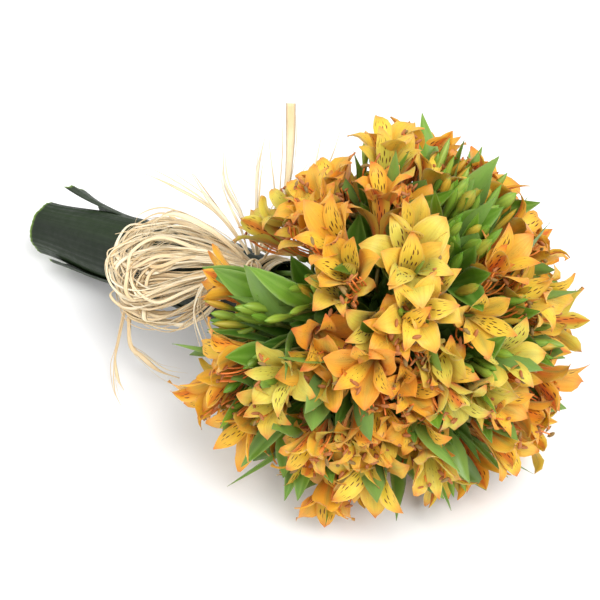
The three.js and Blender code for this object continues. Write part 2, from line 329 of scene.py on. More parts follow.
def petal_material():
    g = Graph("alstroemeria_tepal")
    place = g.add("ShaderNodeTexCoord").outputs["Object"]
    s, t, fleck = g.split(g.attribute("coord"))
    lines = g.noise(g.join(g.math("MULTIPLY", s, 11.0), g.math("MULTIPLY", t, 1.6), fleck), 1.0, 3.0, 0.6)
    cloud = g.noise(place, 60.0, 2.0)
    veined = g.mix(1.0, g.attribute("tint"), (0.86, 0.62, 0.42), "MULTIPLY")
    colour = g.mix(g.span(lines, 0.38, 0.72, 0.0, 0.5), g.attribute("tint"), veined)
    sunny = g.mix(1.0, colour, (1.1, 1.05, 0.9), "MULTIPLY")
    colour = g.mix(g.span(cloud, 0.45, 0.75, 0.0, 0.3), colour, sunny)
    wander = g.math("MULTIPLY", g.math("SUBTRACT", cloud, 0.5), 0.5)
    sideways = g.math("ADD", g.math("MULTIPLY", s, 3.9), wander)
    dashes = g.add(
        "ShaderNodeTexVoronoi",
        {
            "Vector": g.join(sideways, g.math("MULTIPLY", t, 5.6), fleck),
            "Scale": 1.0,
            "Randomness": 0.75,
        },
        voronoi_dimensions="2D",
    ).outputs["Distance"]
    amount = g.math("FRACT", fleck)
    edge = g.math("MULTIPLY", g.span(t, 0.16, 0.26), g.span(t, 0.9, 0.76))
    edge = g.math("MULTIPLY", edge, g.span(g.math("ABSOLUTE", s), 0.9, 0.7))
    size = g.math("MULTIPLY", amount, 0.25)
    marks = g.math("MULTIPLY", g.span(g.math("SUBTRACT", dashes, size), 0.05, -0.03), edge)
    marks = g.math("MULTIPLY", marks, g.span(amount, 0.02, 0.2))
    colour = g.mix(marks, colour, FLECK)
    height = g.math("ADD", g.math("MULTIPLY", lines, 0.8), g.math("MULTIPLY", g.noise(place, 420.0), 0.3))
    return g.finish(
        colour,
        g.span(lines, 0.3, 0.7, 0.42, 0.58),
        g.bump(height, 0.35, 0.0006),
        Subsurface_Weight=0.22,
        Subsurface_Radius=(0.006, 0.003, 0.001),
        Subsurface_Scale=1.0,
        Specular_IOR_Level=0.35,
        Sheen_Weight=0.08,
    )


def green_material():
    g = Graph("alstroemeria_green")
    place = g.add("ShaderNodeTexCoord").outputs["Object"]
    s, t, _ = g.split(g.attribute("coord"))
    veins = g.noise(g.join(g.math("MULTIPLY", s, 9.0), g.math("MULTIPLY", t, 1.2)), 1.0, 2.0, 0.55)
    cloud = g.noise(place, 45.0, 3.0)
    tint = g.attribute("tint")
    colour = g.mix(g.span(veins, 0.4, 0.7, 0.0, 0.4), tint, g.mix(1.0, tint, (1.35, 1.25, 1.1), "MULTIPLY"))
    shaded = g.mix(1.0, colour, (0.72, 0.78, 0.8), "MULTIPLY")
    colour = g.mix(g.span(cloud, 0.4, 0.8, 0.0, 0.35), colour, shaded)
    height = g.math("ADD", veins, g.math("MULTIPLY", g.noise(place, 500.0), 0.2))
    return g.finish(
        colour,
        g.span(cloud, 0.3, 0.7, 0.34, 0.5),
        g.bump(height, 0.4, 0.0006),
        Subsurface_Weight=0.1,
        Subsurface_Radius=(0.002, 0.004, 0.001),
        Subsurface_Scale=1.0,
        Specular_IOR_Level=0.45,
    )


def stamen_material():
    g = Graph("alstroemeria_stamen")
    place = g.add("ShaderNodeTexCoord").outputs["Object"]
    grain = g.noise(place, 900.0, 2.0)
    tint = g.attribute("tint")
    colour = g.mix(g.span(grain, 0.4, 0.7, 0.0, 0.4), tint, g.mix(1.0, tint, (0.7, 0.6, 0.5), "MULTIPLY"))
    return g.finish(colour, g.span(grain, 0.3, 0.7, 0.5, 0.75), g.bump(grain, 0.3, 0.0003))


def wrap_material():
    g = Graph("wrap_leaf")
    place = g.add("ShaderNodeTexCoord").outputs["Object"]
    s, t, _ = g.split(g.attribute("coord"))
    fine = g.noise(g.join(g.math("MULTIPLY", s, 70.0), g.math("MULTIPLY", t, 2.0)), 1.0, 3.0, 0.6)
    broad = g.noise(g.join(g.math("MULTIPLY", s, 11.0), g.math("MULTIPLY", t, 0.9)), 1.0, 2.0)
    spots = g.noise(place, 160.0, 3.0)
    tint = g.attribute("tint")
    colour = g.mix(g.span(broad, 0.35, 0.7, 0.0, 0.8), tint, g.mix(1.0, tint, (0.5, 0.58, 0.55), "MULTIPLY"))
    colour = g.mix(g.span(fine, 0.45, 0.75, 0.0, 0.5), colour, g.mix(1.0, tint, (1.7, 1.6, 1.4), "MULTIPLY"))
    colour = g.mix(g.span(spots, 0.62, 0.8, 0.0, 0.25), colour, g.mix(1.0, tint, (2.0, 1.9, 1.5), "MULTIPLY"))
    height = g.math("ADD", g.math("MULTIPLY", broad, 1.2), g.math("MULTIPLY", fine, 0.5))
    return g.finish(
        colour,
        g.span(spots, 0.3, 0.75, 0.42, 0.6),
        g.bump(height, 0.6, 0.0014),
        Specular_IOR_Level=0.28,
    )


def raffia_material():
    g = Graph("raffia")
    place = g.add("ShaderNodeTexCoord").outputs["Object"]
    s, t, _ = g.split(g.attribute("coord"))
    fibres = g.noise(g.join(g.math("MULTIPLY", s, 5.0), g.math("MULTIPLY", t, 3.0)), 1.0, 4.0, 0.65)
    stains = g.noise(place, 55.0, 3.0)
    tint = g.attribute("tint")
    streaked = g.mix(1.0, tint, (0.8, 0.68, 0.52), "MULTIPLY")
    colour = g.mix(g.span(fibres, 0.38, 0.72, 0.0, 0.45), tint, streaked)
    stained = g.mix(1.0, tint, (0.75, 0.55, 0.38), "MULTIPLY")
    colour = g.mix(g.span(stains, 0.55, 0.8, 0.0, 0.3), colour, stained)
    return g.finish(
        colour,
        g.span(fibres, 0.3, 0.7, 0.5, 0.75),
        g.bump(fibres, 0.5, 0.0005),
        Subsurface_Weight=0.1,
        Subsurface_Radius=(0.003, 0.002, 0.001),
        Subsurface_Scale=1.0,
        Sheen_Weight=0.1,
    )


PETAL = petal_material()
GREEN = green_material()
STAMEN = stamen_material()
WRAP = wrap_material()
RAFFIA = raffia_material()

# ---------------------------------------------------------------- flowers

ORANGE = srgb(228, 140, 38)
GOLD = srgb(236, 180, 52)
YELLOW = srgb(240, 210, 70)
LEMON = srgb(208, 202, 84)
RED = srgb(206, 70, 34)
THROAT = srgb(232, 222, 140)
OLIVE = srgb(140, 144, 66)

ROWS, COLUMNS = 12, 8
OUTER = ([0, 0.14, 0.32, 0.5, 0.66, 0.8, 0.91, 0.96, 1], [0.2, 0.22, 0.42, 0.78, 1.0, 0.86, 0.46, 0.16, 0.03])
INNER = ([0, 0.2, 0.4, 0.6, 0.74, 0.86, 0.95, 1], [0.36, 0.38, 0.58, 0.94, 1.0, 0.7, 0.28, 0.03])


def mix(a, b, share):
    share = np.asarray(share, float)[..., None]
    return a * (1 - share) + b * share


def tepal(shape, place, origin, angle, length, half, outline, open_from, open_to, look, kind, phase):
    """One tepal, slanting from the floret's axis by open_from at its base and open_to at its tip.

    kind is outer, upper or lower. Only the inner ones, upper and lower, have flecks.
    """
    t = np.linspace(0, 1, ROWS + 1)
    s = np.linspace(-1, 1, COLUMNS + 1)
    slant = open_from + (open_to - open_from) * t**look["power"] + look["curl"] * smooth(t, 0.72, 1.0)
    step = length / ROWS
    middle = (slant[1:] + slant[:-1]) / 2
    out = 0.0022 + np.concatenate([[0], np.cumsum(np.sin(middle))]) * step
    up = np.concatenate([[0], np.cumsum(np.cos(middle))]) * step
    width = half * np.interp(t, *outline)
    cup = np.interp(t, [0, 0.35, 0.7, 1], [0.9, 0.55, look["cup"], look["cup"] * 0.5])
    lift = width[:, None] * cup[:, None] * (s**2)[None, :]
    wave = np.sin(2 * math.pi * (look["waves"] * t[:, None] + phase) + np.sign(s)[None, :] * 1.3)
    lift = lift + look["ruffle"] * (np.abs(s) ** 1.5)[None, :] * wave * smooth(t, 0.3, 0.7)[:, None]
    radial = np.array([math.sin(angle), math.cos(angle), 0])
    tangent = np.array([math.cos(angle), -math.sin(angle), 0])
    axis = np.array([0, 0, 1.0])
    inward = -np.cos(slant)[:, None] * radial + np.sin(slant)[:, None] * axis
    grid = (
        (out[:, None] * radial + up[:, None] * axis)[:, None, :]
        + (width[:, None] * s[None, :] + look["bend"] * (t**2)[:, None])[..., None] * tangent
        + lift[..., None] * inward[:, None, :]
    )
    grid = grid @ place.T + origin
    normal = grid_normals(grid)
    flip = np.sign(np.sum(normal * (inward @ place.T)[:, None, :], axis=-1, keepdims=True))
    normal = normal * np.where(flip == 0, 1, flip)
    tt, ss = t[:, None] + 0 * s, np.abs(s)[None, :] + 0 * t[:, None]
    hue, blush = look["hue"], look["blush"]
    base = mix(GOLD, ORANGE if hue > 0 else LEMON, np.full_like(tt, abs(hue)))
    if kind == "outer":
        front = mix(base, ORANGE, 0.5 * smooth(ss, 0.35, 1.0) * (1 + hue) / 2)
        patch = smooth(ss, 0.5, 0.0) * smooth(tt, 0.98, 0.72) * smooth(tt, 0.3, 0.6)
        front = mix(front, OLIVE, look["olive"] * patch)
        front = mix(front, RED, blush * 0.8 * smooth(tt, 0.86, 1.0))
        front = mix(front, THROAT, 0.7 * smooth(tt, 0.34, 0.06))
        back = mix(base, RED, min(1, 0.35 + 0.6 * blush) * smooth(tt, 0.85, 0.3) * smooth(ss, 0.95, 0.35))
        back = mix(back, OLIVE, 0.75 * smooth(ss, 0.3, 0.0) * smooth(tt, 1.0, 0.6))
        back = mix(back, RED, 0.6 * blush * smooth(tt, 0.88, 1.0))
        fleck = 0.0
    else:
        strength = 1.0 if kind == "upper" else 0.4
        bright = YELLOW if hue > -0.4 else LEMON
        front = mix(base, bright, 0.8 * smooth(tt, 0.95, 0.6) * smooth(ss, 1.15, 0.5))
        front = mix(front, THROAT, 0.5 * smooth(tt, 0.5, 0.2))
        front = mix(front, RED, 0.5 * blush * smooth(tt, 0.22, 0.05))
        front = mix(front, RED, np.minimum(1, 0.35 + 0.55 * blush) * smooth(tt, 0.86, 0.99))
        back = mix(base, RED, (0.3 + 0.5 * blush) * smooth(ss, 0.75, 0.1))
        fleck = strength * look["fleck"]
    # The whole part picks the pattern of the flecks, and the fraction their size.
    pattern = round(phase * 40) + min(0.98, fleck)
    coord = np.stack([s[None, :] + 0 * tt, tt, np.full_like(tt, pattern)], axis=-1)
    body = 0.00042 * (1 - s**2)[None, :] * (1 - (2 * t - 1) ** 8)[:, None]
    add_sheet(shape, grid, normal, body[..., None], front, back, coord)


def stamens(shape, place, origin, length, spread, hue):
    """Six filaments with anthers, and a pistil. They lean to the lower side and turn up at their tips."""
    filament = mix(srgb(232, 116, 48), srgb(238, 160, 60), np.array(hue))
    for n in range(7):
        reach_out = length * rng.uniform(0.82, 1.04)
        turn = math.radians(180 + rng.uniform(-42, 42))
        lean = math.radians(rng.uniform(6, 24)) + spread * 0.25
        radial = np.array([math.sin(turn), math.cos(turn), 0])
        u = np.linspace(0, 1, 7)
        out = 0.0012 + reach_out * (math.sin(lean) * u + 0.1 * np.sin(math.pi * u) - 0.1 * u**3)
        up = reach_out * (math.cos(lean) * u)
        path = out[:, None] * radial + up[:, None] * np.array([0, 0, 1.0])
        path = path @ place.T + origin
        radii = 0.00078 * (1 - 0.35 * u)
        tint = mix(THROAT * 0.9 + 0.1 * filament, filament, smooth(u, 0.1, 0.5))
        add_tube(shape, path, radii, 6, tint)
        if n < 6:
            tip = path[-1]
            heading = unit(path[-1] - path[-2])
            across = unit(np.cross(heading, rng.normal(size=3)))
            aim = unit(across + 0.5 * heading)
            ends = np.linspace(-1, 1, 7)
            anther = tip + 0.0031 * ends[:, None] * aim
            tint_a = srgb(172, 106, 54) if rng.random() < 0.7 else srgb(140, 112, 58)
            add_tube(shape, anther, 0.0014 * np.sqrt(np.maximum(0.03, 1 - ends**2)), 6, tint_a, flat=0.7)


def floret(parts, base, direction, roll, look):
    """An open floret: green ovary, six tepals in two whorls, stamens."""
    top = np.array([0, 0, 1.0]) + 0.2 * rng.normal(size=3)
    place = axes_for(direction, top)
    c, s = math.cos(roll), math.sin(roll)
    place = place @ np.array([[c, -s, 0], [s, c, 0], [0, 0, 1]])
    size = look["size"]
    opening = look["open"]
    ends = np.linspace(0, 1, 7)
    ovary = base + (ends * 0.009 * size)[:, None] * direction
    bulge = 0.0014 + 0.0026 * np.sin(math.pi * np.clip(ends * 0.8 + 0.12, 0, 1))
    add_tube(parts["green"], ovary, bulge * size, 8, mix(srgb(120, 140, 52), srgb(150, 110, 60), ends * 0.6))
    throat = base + 0.0075 * size * direction
    for n in range(3):
        angle = math.radians(120 * n) + rng.normal() * 0.08
        length = size * 0.05 * rng.uniform(0.92, 1.06)
        wider = size * look["broad"] * rng.uniform(0.9, 1.08)
        tepal(
            parts["petal"], place, throat, angle, length, wider, OUTER,
            math.radians(9), opening + rng.normal() * 0.12,
            look | {"bend": rng.normal() * 0.002}, "outer", rng.random(),
        )
    for n in range(3):
        angle = math.radians(60 + 120 * n) + rng.normal() * 0.07
        kind = "lower" if n == 1 else "upper"
        length = size * (0.052 if kind == "upper" else 0.049) * rng.uniform(0.95, 1.05)
        wider = size * (0.0068 if kind == "upper" else 0.0056) * rng.uniform(0.92, 1.08)
        tepal(
            parts["petal"], place, throat, angle, length, wider, INNER,
            math.radians(6), opening * 0.82 + rng.normal() * 0.1,
            look | {"bend": rng.normal() * 0.0015, "cup": 0.35, "ruffle": 0.0006}, kind, rng.random(),
        )
    stamens(parts["stamen"], place, throat, size * 0.042, opening, look["blush"] * 0.5)


def random_look(hue=None, opening=None, size=None):
    hue = rng.uniform(-0.85, 0.75) if hue is None else hue
    return {
        "hue": hue,
        "blush": rng.uniform(0.4, 1.1),
        "power": rng.uniform(1.1, 2.3),
        "curl": math.radians(rng.uniform(-10, 75)),
        "cup": rng.uniform(-0.12, 0.32),
        "ruffle": rng.uniform(0.0008, 0.0024),
        "broad": rng.uniform(0.0088, 0.0118),
        "waves": rng.uniform(1.2, 2.6),
        "olive": rng.uniform(0.1, 0.65),
        "fleck": rng.uniform(0.7, 0.97),
        "open": math.radians(rng.uniform(30, 78)) if opening is None else opening,
        "size": rng.uniform(0.86, 1.06) if size is None else size,
        "bend": 0,
    }


BUD_OUTLINE = ([0, 0.06, 0.18, 0.24, 0.45, 0.7, 0.88, 1], [0.3, 0.5, 0.66, 0.56, 0.9, 1.0, 0.62, 0.1])
BROAD_LEAF = ([0, 0.1, 0.3, 0.5, 0.7, 0.86, 0.95, 1], [0.16, 0.34, 0.82, 1.0, 0.86, 0.5, 0.2, 0.03])
STALKED_LEAF = ([0, 0.36, 0.48, 0.62, 0.74, 0.88, 0.95, 1], [0.12, 0.14, 0.7, 1.0, 0.92, 0.52, 0.24, 0.03])


def bud(shape, base, direction, length, radius, ripe):
    """A closed floret with six ribs. ripe is from 0, green, to 1, coloured."""
    u = np.linspace(0, 1, 10)
    outline = np.interp(u, *BUD_OUTLINE)
    spine = base + (u * length)[:, None] * direction
    sides = 12
    _, side, upper = path_axes(spine, rng.normal(size=3))
    turn = np.linspace(0, 2 * math.pi, sides, endpoint=False)
    ribs = 1 + 0.12 * np.cos(6 * turn)
    swirl = turn[None, :] + 0.5 * u[:, None]
    ring = np.cos(swirl)[..., None] * side[:, None, :] + np.sin(swirl)[..., None] * upper[:, None, :]
    grid = spine[:, None, :] + (radius * outline[:, None] * ribs)[..., None] * ring
    index = np.arange(len(u) * sides).reshape(len(u), sides)
    nxt = np.roll(index, -1, axis=1)
    quads = [np.stack([index[:-1], nxt[:-1], nxt[1:], index[1:]], axis=-1).reshape(-1, 4)]
    points = np.concatenate([grid.reshape(-1, 3), [base, base + direction * length * 1.02]])
    for row, centre, flip in ((index[0], len(points) - 2, True), (index[-1], len(points) - 1, False)):
        pairs = row[::2], np.roll(row, -1)[::2], np.roll(row, -2)[::2]
        fan = np.stack([np.full(len(pairs[0]), centre), *pairs], axis=-1)
        quads.append(fan[:, ::-1] if flip else fan)
    green = mix(srgb(96, 138, 38), srgb(150, 172, 64), np.array(rng.random()))
    ripened = mix(srgb(200, 180, 60), srgb(232, 150, 50), np.array(rng.random()))
    tint = mix(green, ripened, ripe * smooth(u, 0.2, 0.6))
    tint = mix(tint, srgb(96, 150, 40), 0.7 * smooth(u, 0.9, 1.0))
    tint = np.repeat(tint, sides, axis=0) * (1 - 0.12 * np.cos(6 * np.tile(turn, len(u)))[:, None])
    tint = np.concatenate([tint, tint[:1], tint[-1:]])
    coord = np.zeros((len(points), 3))
    coord[:-2, 0] = np.tile(turn / math.pi - 1, len(u))
    coord[:-2, 1] = np.repeat(u, sides)
    coord[-1, 1] = 1
    shape.add(points, np.concatenate(quads), tint, coord)


def leaf(shape, path, half, facing, twist=0.0, fold=0.25, dark=0.5, outline=BROAD_LEAF):
    """A lance-shaped leaf along path, its upper face towards facing."""
    path = spline(path, 15)
    t = np.linspace(0, 1, 15)
    s = np.linspace(-1, 1, 7)
    tangent, side, _ = path_axes(path, np.cross(unit(path[-1] - path[0]), facing))
    normal = np.cross(side, tangent)
    turn = twist * t
    side, normal = (
        np.cos(turn)[:, None] * side + np.sin(turn)[:, None] * normal,
        np.cos(turn)[:, None] * normal - np.sin(turn)[:, None] * side,
    )
    width = half * np.interp(t, *outline)
    wave = 0.05 * half * np.sin(9 * t[:, None] + 2 * s[None, :]) * s[None, :]
    rise = width[:, None] * fold * np.abs(s)[None, :] + wave
    sideways = (width[:, None] * s[None, :])[..., None] * side[:, None, :]
    grid = path[:, None, :] + sideways + rise[..., None] * normal[:, None, :]
    tt, ss = t[:, None] + 0 * s, np.abs(s)[None, :] + 0 * t[:, None]
    green = mix(srgb(116, 158, 42), srgb(62, 104, 32), np.full_like(tt, dark))
    front = mix(green, srgb(150, 186, 84), 0.55 * smooth(ss, 0.8, 1.0) + 0.3 * smooth(ss, 0.12, 0.0))
    front = mix(front, srgb(160, 190, 90), 0.3 * smooth(tt, 0.2, 0.0))
    back = mix(green, srgb(128, 158, 88), np.full_like(tt, 0.5))
    coord = np.stack([s[None, :] + 0 * tt, tt, 0 * tt], axis=-1)
    body = 0.0005 * (1 - s**2)[None, :] * (1 - (2 * t - 1) ** 8)[:, None]
    normals = np.broadcast_to(normal[:, None, :], grid.shape)
    add_sheet(shape, grid, normals, body[..., None], front, back, coord)


stem_directions = [dome_direction(i, STEM_COUNT, HUB_BACK) for i in range(STEM_COUNT)]
bow_side = direction_at(*BOW_SIDE)
green_side = direction_at(*GREEN_SIDE)
floret_directions = [dome_direction(i, FLORET_COUNT, DOME_BACK) for i in range(FLORET_COUNT)]
floret_directions = [d for d in floret_directions if angle_between(d, bow_side) > BOW_SPREAD]


def stem_for(direction):
    return int(np.argmax([np.dot(direction, other) for other in stem_directions]))


def tilted(direction, amount):
    return unit(direction + amount * rng.normal(size=3))


gap_directions = []
for i in range(1800):
    direction = dome_direction(i, 1800, DOME_BACK)
    clear = min(angle_between(direction, other) for other in floret_directions)
    if angle_between(direction, bow_side) < BOW_SPREAD:
        continue
    apart = all(angle_between(direction, other) > GAP_SPACING for other in gap_directions)
    if clear > GAP_CLEARANCE and apart:
        gap_directions.append(direction)

parts_of = [{"petal": Shape(), "stamen": Shape(), "green": Shape()} for _ in range(STEM_COUNT)]
hubs = [HEART + HUB_SHARE * reach(d) * d for d in stem_directions]


def pedicel(parts, hub, base, direction, radius=0.0013):
    """A floret's own stalk, from the hub up into its base."""
    bow = base - direction * 0.35 * np.linalg.norm(base - hub)
    path = spline([hub, (hub + bow) / 2 + rng.normal(size=3) * 0.001, bow, base], 12)
    tint = mix(srgb(110, 140, 60), srgb(150, 120, 64), np.full(12, rng.random() * 0.7))
    add_tube(parts["green"], path, radius, 6, tint)


for i in range(STEM_COUNT):
    turn = i * GOLDEN_ANGLE
    out = STEM_PACKING * math.sqrt(i + 0.5)
    share = np.array([0, 0.35, 0.7, 1])
    drawn_in = out * np.array([0.86, 0.96, 1, 1])
    route = round_axis(share * HANDLE_LENGTH, drawn_in, turn + STEM_TWIST * (1 - share))
    path = spline([*route, hubs[i]], 30)
    u = np.linspace(0, 1, 30)
    tint = mix(srgb(120, 150, 70), srgb(86, 122, 50), u)
    add_tube(parts_of[i]["green"], path, STEM_RADIUS * (1 - 0.25 * u), 10, tint, coord_scale=6.0)


def add_bud(direction, sink, length, radius, ripe, spread):
    stem = stem_for(direction)
    way = tilted(direction, spread)
    base = HEART + way * (reach(way) - length - sink)
    aim = tilted(way, 0.18)
    pedicel(parts_of[stem], hubs[stem], base, aim, 0.001)
    bud(parts_of[stem]["green"], base, aim, length, radius, ripe)


def add_floret(direction, sink, tilt, look, roll=None):
    stem = stem_for(direction)
    way = tilted(direction, 0.04)
    aim = tilted(way, tilt)
    base = HEART + way * (reach(way) - FLORET_LENGTH - sink)
    pedicel(parts_of[stem], hubs[stem], base, aim)
    floret(parts_of[stem], base, aim, rng.uniform(0, 2 * math.pi) if roll is None else roll, look)


def add_leaf(direction, past, half, dark, sweep=0.0, facing=None, twist=0.8):
    """A leaf from the direction's hub, whose tip lies past the florets' mouths and sweep to one side."""
    stem = stem_for(direction)
    way = tilted(direction, 0.05)
    tip = HEART + way * (reach(way) + past)
    middle = HEART + unit(direction + 0.5 * stem_directions[stem]) * reach(direction) * 0.72
    side = unit(np.cross(direction, rng.normal(size=3)))
    facing = tilted(way, 0.5) if facing is None else facing
    path = [hubs[stem], middle, tip + side * sweep]
    leaf(parts_of[stem]["green"], path, half, facing, rng.normal() * twist, dark=dark, outline=STALKED_LEAF)


for direction in floret_directions:
    if angle_between(direction, green_side) < GREEN_SPREAD:
        for n in range(6):
            ripe = 0.0 if n else 0.3
            sink, length = rng.uniform(-0.002, 0.012), rng.uniform(0.026, 0.042)
            add_bud(direction, sink, length, rng.uniform(0.0026, 0.0044), ripe, 0.12)
        for n in range(4):
            way, past = tilted(direction, 0.12), rng.uniform(-0.012, 0.012)
            add_leaf(way, past, rng.uniform(0.0055, 0.0085), rng.uniform(0.1, 0.6))
        continue
    roll = rng.normal() * 0.8 if direction[2] > 0 else None
    add_floret(direction, rng.uniform(-0.002, 0.014), 0.3, random_look(), roll)

# Beside the opening only florets fill the gaps, no leaves.
floret_side = direction_at(math.radians(98), math.radians(-14))
for n, direction in enumerate(gap_directions):
    if angle_between(direction, floret_side) < math.radians(17):
        add_floret(direction, 0.016, 0.3, random_look(size=0.95), rng.normal() * 0.8)
        continue
    if n % 5 in (0, 2):
        add_floret(direction, rng.uniform(0.004, 0.02), 0.45, random_look(size=rng.uniform(0.82, 0.98)))
    if n % 5 in (1, 3, 4):
        past, half = rng.uniform(-0.012, 0.008), rng.uniform(0.007, 0.0115)
        add_leaf(direction, past, half, rng.uniform(0.1, 0.9), rng.uniform(0.0, 0.02))
    if n % 5 == 4:
        for _ in range(5):
            sink, length = rng.uniform(0.004, 0.018), rng.uniform(0.02, 0.034)
            radius, ripe = rng.uniform(0.0022, 0.0034), rng.choice([0, 0, 0.7])
            add_bud(direction, sink, length, radius, ripe, 0.06)

# Florets that show most: polar and turn in degrees, how far sunk below the others, and hue.
PLACED_FLORETS = (
    (45, -18, 0.004, -0.3),
    (50, -7, 0.0, -0.7),
    (57, -11, 0.004, -0.2),
    (41, -4, 0.006, -0.5),
    (39, -30, 0.002, 0.3),
    (64, -24, 0.0, 0.0),
    (98, 16, -0.003, -0.2),
    (103, -84, -0.01, 0.3),
)
for polar, turn, sink, hue in PLACED_FLORETS:
    way = direction_at(math.radians(polar), math.radians(turn))
    add_floret(way, sink, 0.2, random_look(hue=hue), rng.normal() * 0.8)

# Leaves lower down, among the stalks, close the view into the dome.
for stem, direction in enumerate(stem_directions):
    for n in range(9):
        way = tilted(direction, 0.4)
        tip = HEART + way * reach(way) * rng.uniform(0.7, 0.86)
        side = unit(np.cross(way, rng.normal(size=3)))
        start = hubs[stem] - 0.012 * direction
        path = [start, (start + tip) / 2 + 0.012 * side, tip + 0.02 * side]
        half, facing = rng.uniform(0.009, 0.013), tilted(way, 0.5)
        leaf(parts_of[stem]["green"], path, half, facing, rng.normal() * 0.5, dark=rng.uniform(0.6, 1.0))

# Leaves that stand out from the dome's outline, and broad ones that lie on it: polar and turn in degrees,
# how far past the florets, half width, how dark.
STANDING_LEAVES = (
    (103, 38, 0.012, 0.0095, 0.3),
    (88, 44, 0.004, 0.0105, 0.3),
    (103, 2, -0.02, 0.008, 0.4),
    (93, -115, 0.02, 0.006, 0.4),
    (69, -126, 0.008, 0.0075, 0.5),
    (38, 171, 0.01, 0.006, 0.5),
    (109, -77, 0.012, 0.0085, 0.2),
    (107, -50, -0.004, 0.0125, 0.4),
    (101, -52, -0.01, 0.0105, 0.3),
    (84, -65, 0.002, 0.010, 0.6),
    (43, -77, 0.0, 0.0085, 0.7),
    (18, -60, 0.002, 0.009, 0.5),
    (8, -170, 0.002, 0.009, 0.4),
    (48, -113, 0.002, 0.0095, 0.7),
    (46, -140, 0.004, 0.0085, 0.5),
    (19, 43, 0.002, 0.010, 0.7),
    (59, -65, 0.0, 0.009, 0.7),
    (77, -112, 0.004, 0.007, 0.6),
)
for polar, turn, past, half, dark in STANDING_LEAVES:
    add_leaf(direction_at(math.radians(polar), math.radians(turn)), past, half, dark, 0.0, None, 0.3)


def finish_piece(piece, slot, *nodes):
    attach(piece, "root")
    if nodes:
        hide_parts(*nodes)
    return piece


for i, parts in enumerate(parts_of):
    node = f"alstroemeria_{i + 1:02d}"
    for key, material in (("petal", PETAL), ("stamen", STAMEN), ("green", GREEN)):
        if parts[key].count:
            finish_piece(parts[key].build(f"{node}_{key}s", material), "flower", node)

# ---------------------------------------------------------------- the leaf wrap


def wrap_leaf(name, start, from_deg, to_deg, layer, flare, flare_length, ragged, bulge):
    rows, columns = 90, max(24, int(abs(to_deg - from_deg) / 3))
    s = np.linspace(0, 1, columns + 1)
    u = np.linspace(0, 1, rows + 1)
    edge = start + ragged * (np.abs(np.sin(s * 7.0)) * 0.5 + 0.5 * np.abs(np.sin(s * 17.0 + 1)) + 0.3 * s)
    along = edge[None, :] + (HANDLE_LENGTH + 0.008 - edge)[None, :] * u[:, None]
    inner = WRAP_INNER_RADIUS + (layer + 0.75) * LEAF_LAYER
    opened = np.maximum(0, 1 - (along - start) / flare_length)
    sway = 0.10 * np.sin(3 * u[:, None] + layer) * (1 - u[:, None])
    turn = np.radians(from_deg + (to_deg - from_deg) * s)[None, :] + sway
    fat = bulge * np.sin(math.pi * u[:, None]) ** 1.2 * (0.6 + 0.4 * np.cos(s[None, :] * 5))
    ribs = 0.00022 * np.sin(s[None, :] * abs(to_deg - from_deg) * 0.55) + 0.0004 * np.sin(
        s[None, :] * abs(to_deg - from_deg) * 0.12 + 2.5 * u[:, None]
    )
    swell = 0.004 * smooth(along, 0.04, 0.165) * smooth(along, 0.222, 0.18) - 0.005 * smooth(along, 0.07, 0.0)
    radius = inner + flare * opened**2 + ribs + fat + swell
    grid = round_axis(along, radius, turn)
    normal = grid_normals(grid)
    outward = grid - round_axis(along, 0 * radius, turn)
    normal *= np.sign(np.sum(normal * outward, axis=-1, keepdims=True))
    tt, ss = u[:, None] + 0 * s, s[None, :] + 0 * u[:, None]
    dark = mix(srgb(18, 30, 12), srgb(32, 48, 22), 0.5 + 0.5 * np.sin(ss * 9 + 2 * tt))
    rim = mix(dark, srgb(120, 150, 60), smooth(tt, 0.006, 0.0))
    coord = np.stack([ss * abs(to_deg - from_deg) / 200, tt, 0 * tt], axis=-1)
    shape = Shape()
    body = 0.0007 * smooth(tt, 0.0, 0.01) * smooth(tt, 1.0, 0.99)
    body = body * smooth(ss, 0.0, 0.02) * smooth(ss, 1.0, 0.98)
    add_sheet(shape, grid, normal, body[..., None], rim, rim * 1.3, coord)
    finish_piece(shape.build(f"{name}_blade", WRAP), "wrap_leaf", name)


wrap_leaf("wrap_leaf_front", -0.004, -150, 30, 1, 0.0005, 0.06, 0.0012, 0.001)
wrap_leaf("wrap_leaf_under", 0.014, -238, -112, 2, 0.0035, 0.1, 0.003, 0.001)
wrap_leaf("wrap_leaf_back", 0.013, 20, 124, 0, 0.021, 0.085, 0.007, 0.001)

# ---------------------------------------------------------------- the raffia

KNOT = round_axis(HANDLE_LENGTH, BAND_RADIUS + 0.003 + 0.006, KNOT_TURN)
STRAW = srgb(248, 231, 192)
STRAW_DARK = srgb(230, 196, 144)
STRAW_PALE = srgb(253, 243, 216)


def from_knot(points):
    back, near, up = np.asarray(points, float).T / 1000
    return KNOT - back[:, None] * ALONG - near[:, None] * ACROSS + up[:, None] * UPRIGHT


# A strip's section, in half widths across it and in thicknesses off it.
RIBBON_SECTION = np.array(
    [[-1, 0.16], [-0.45, -0.02], [0, -0.1], [0.45, -0.02], [1, 0.16], [0.45, 0.1], [0, 0.03], [-0.45, 0.1]]
)


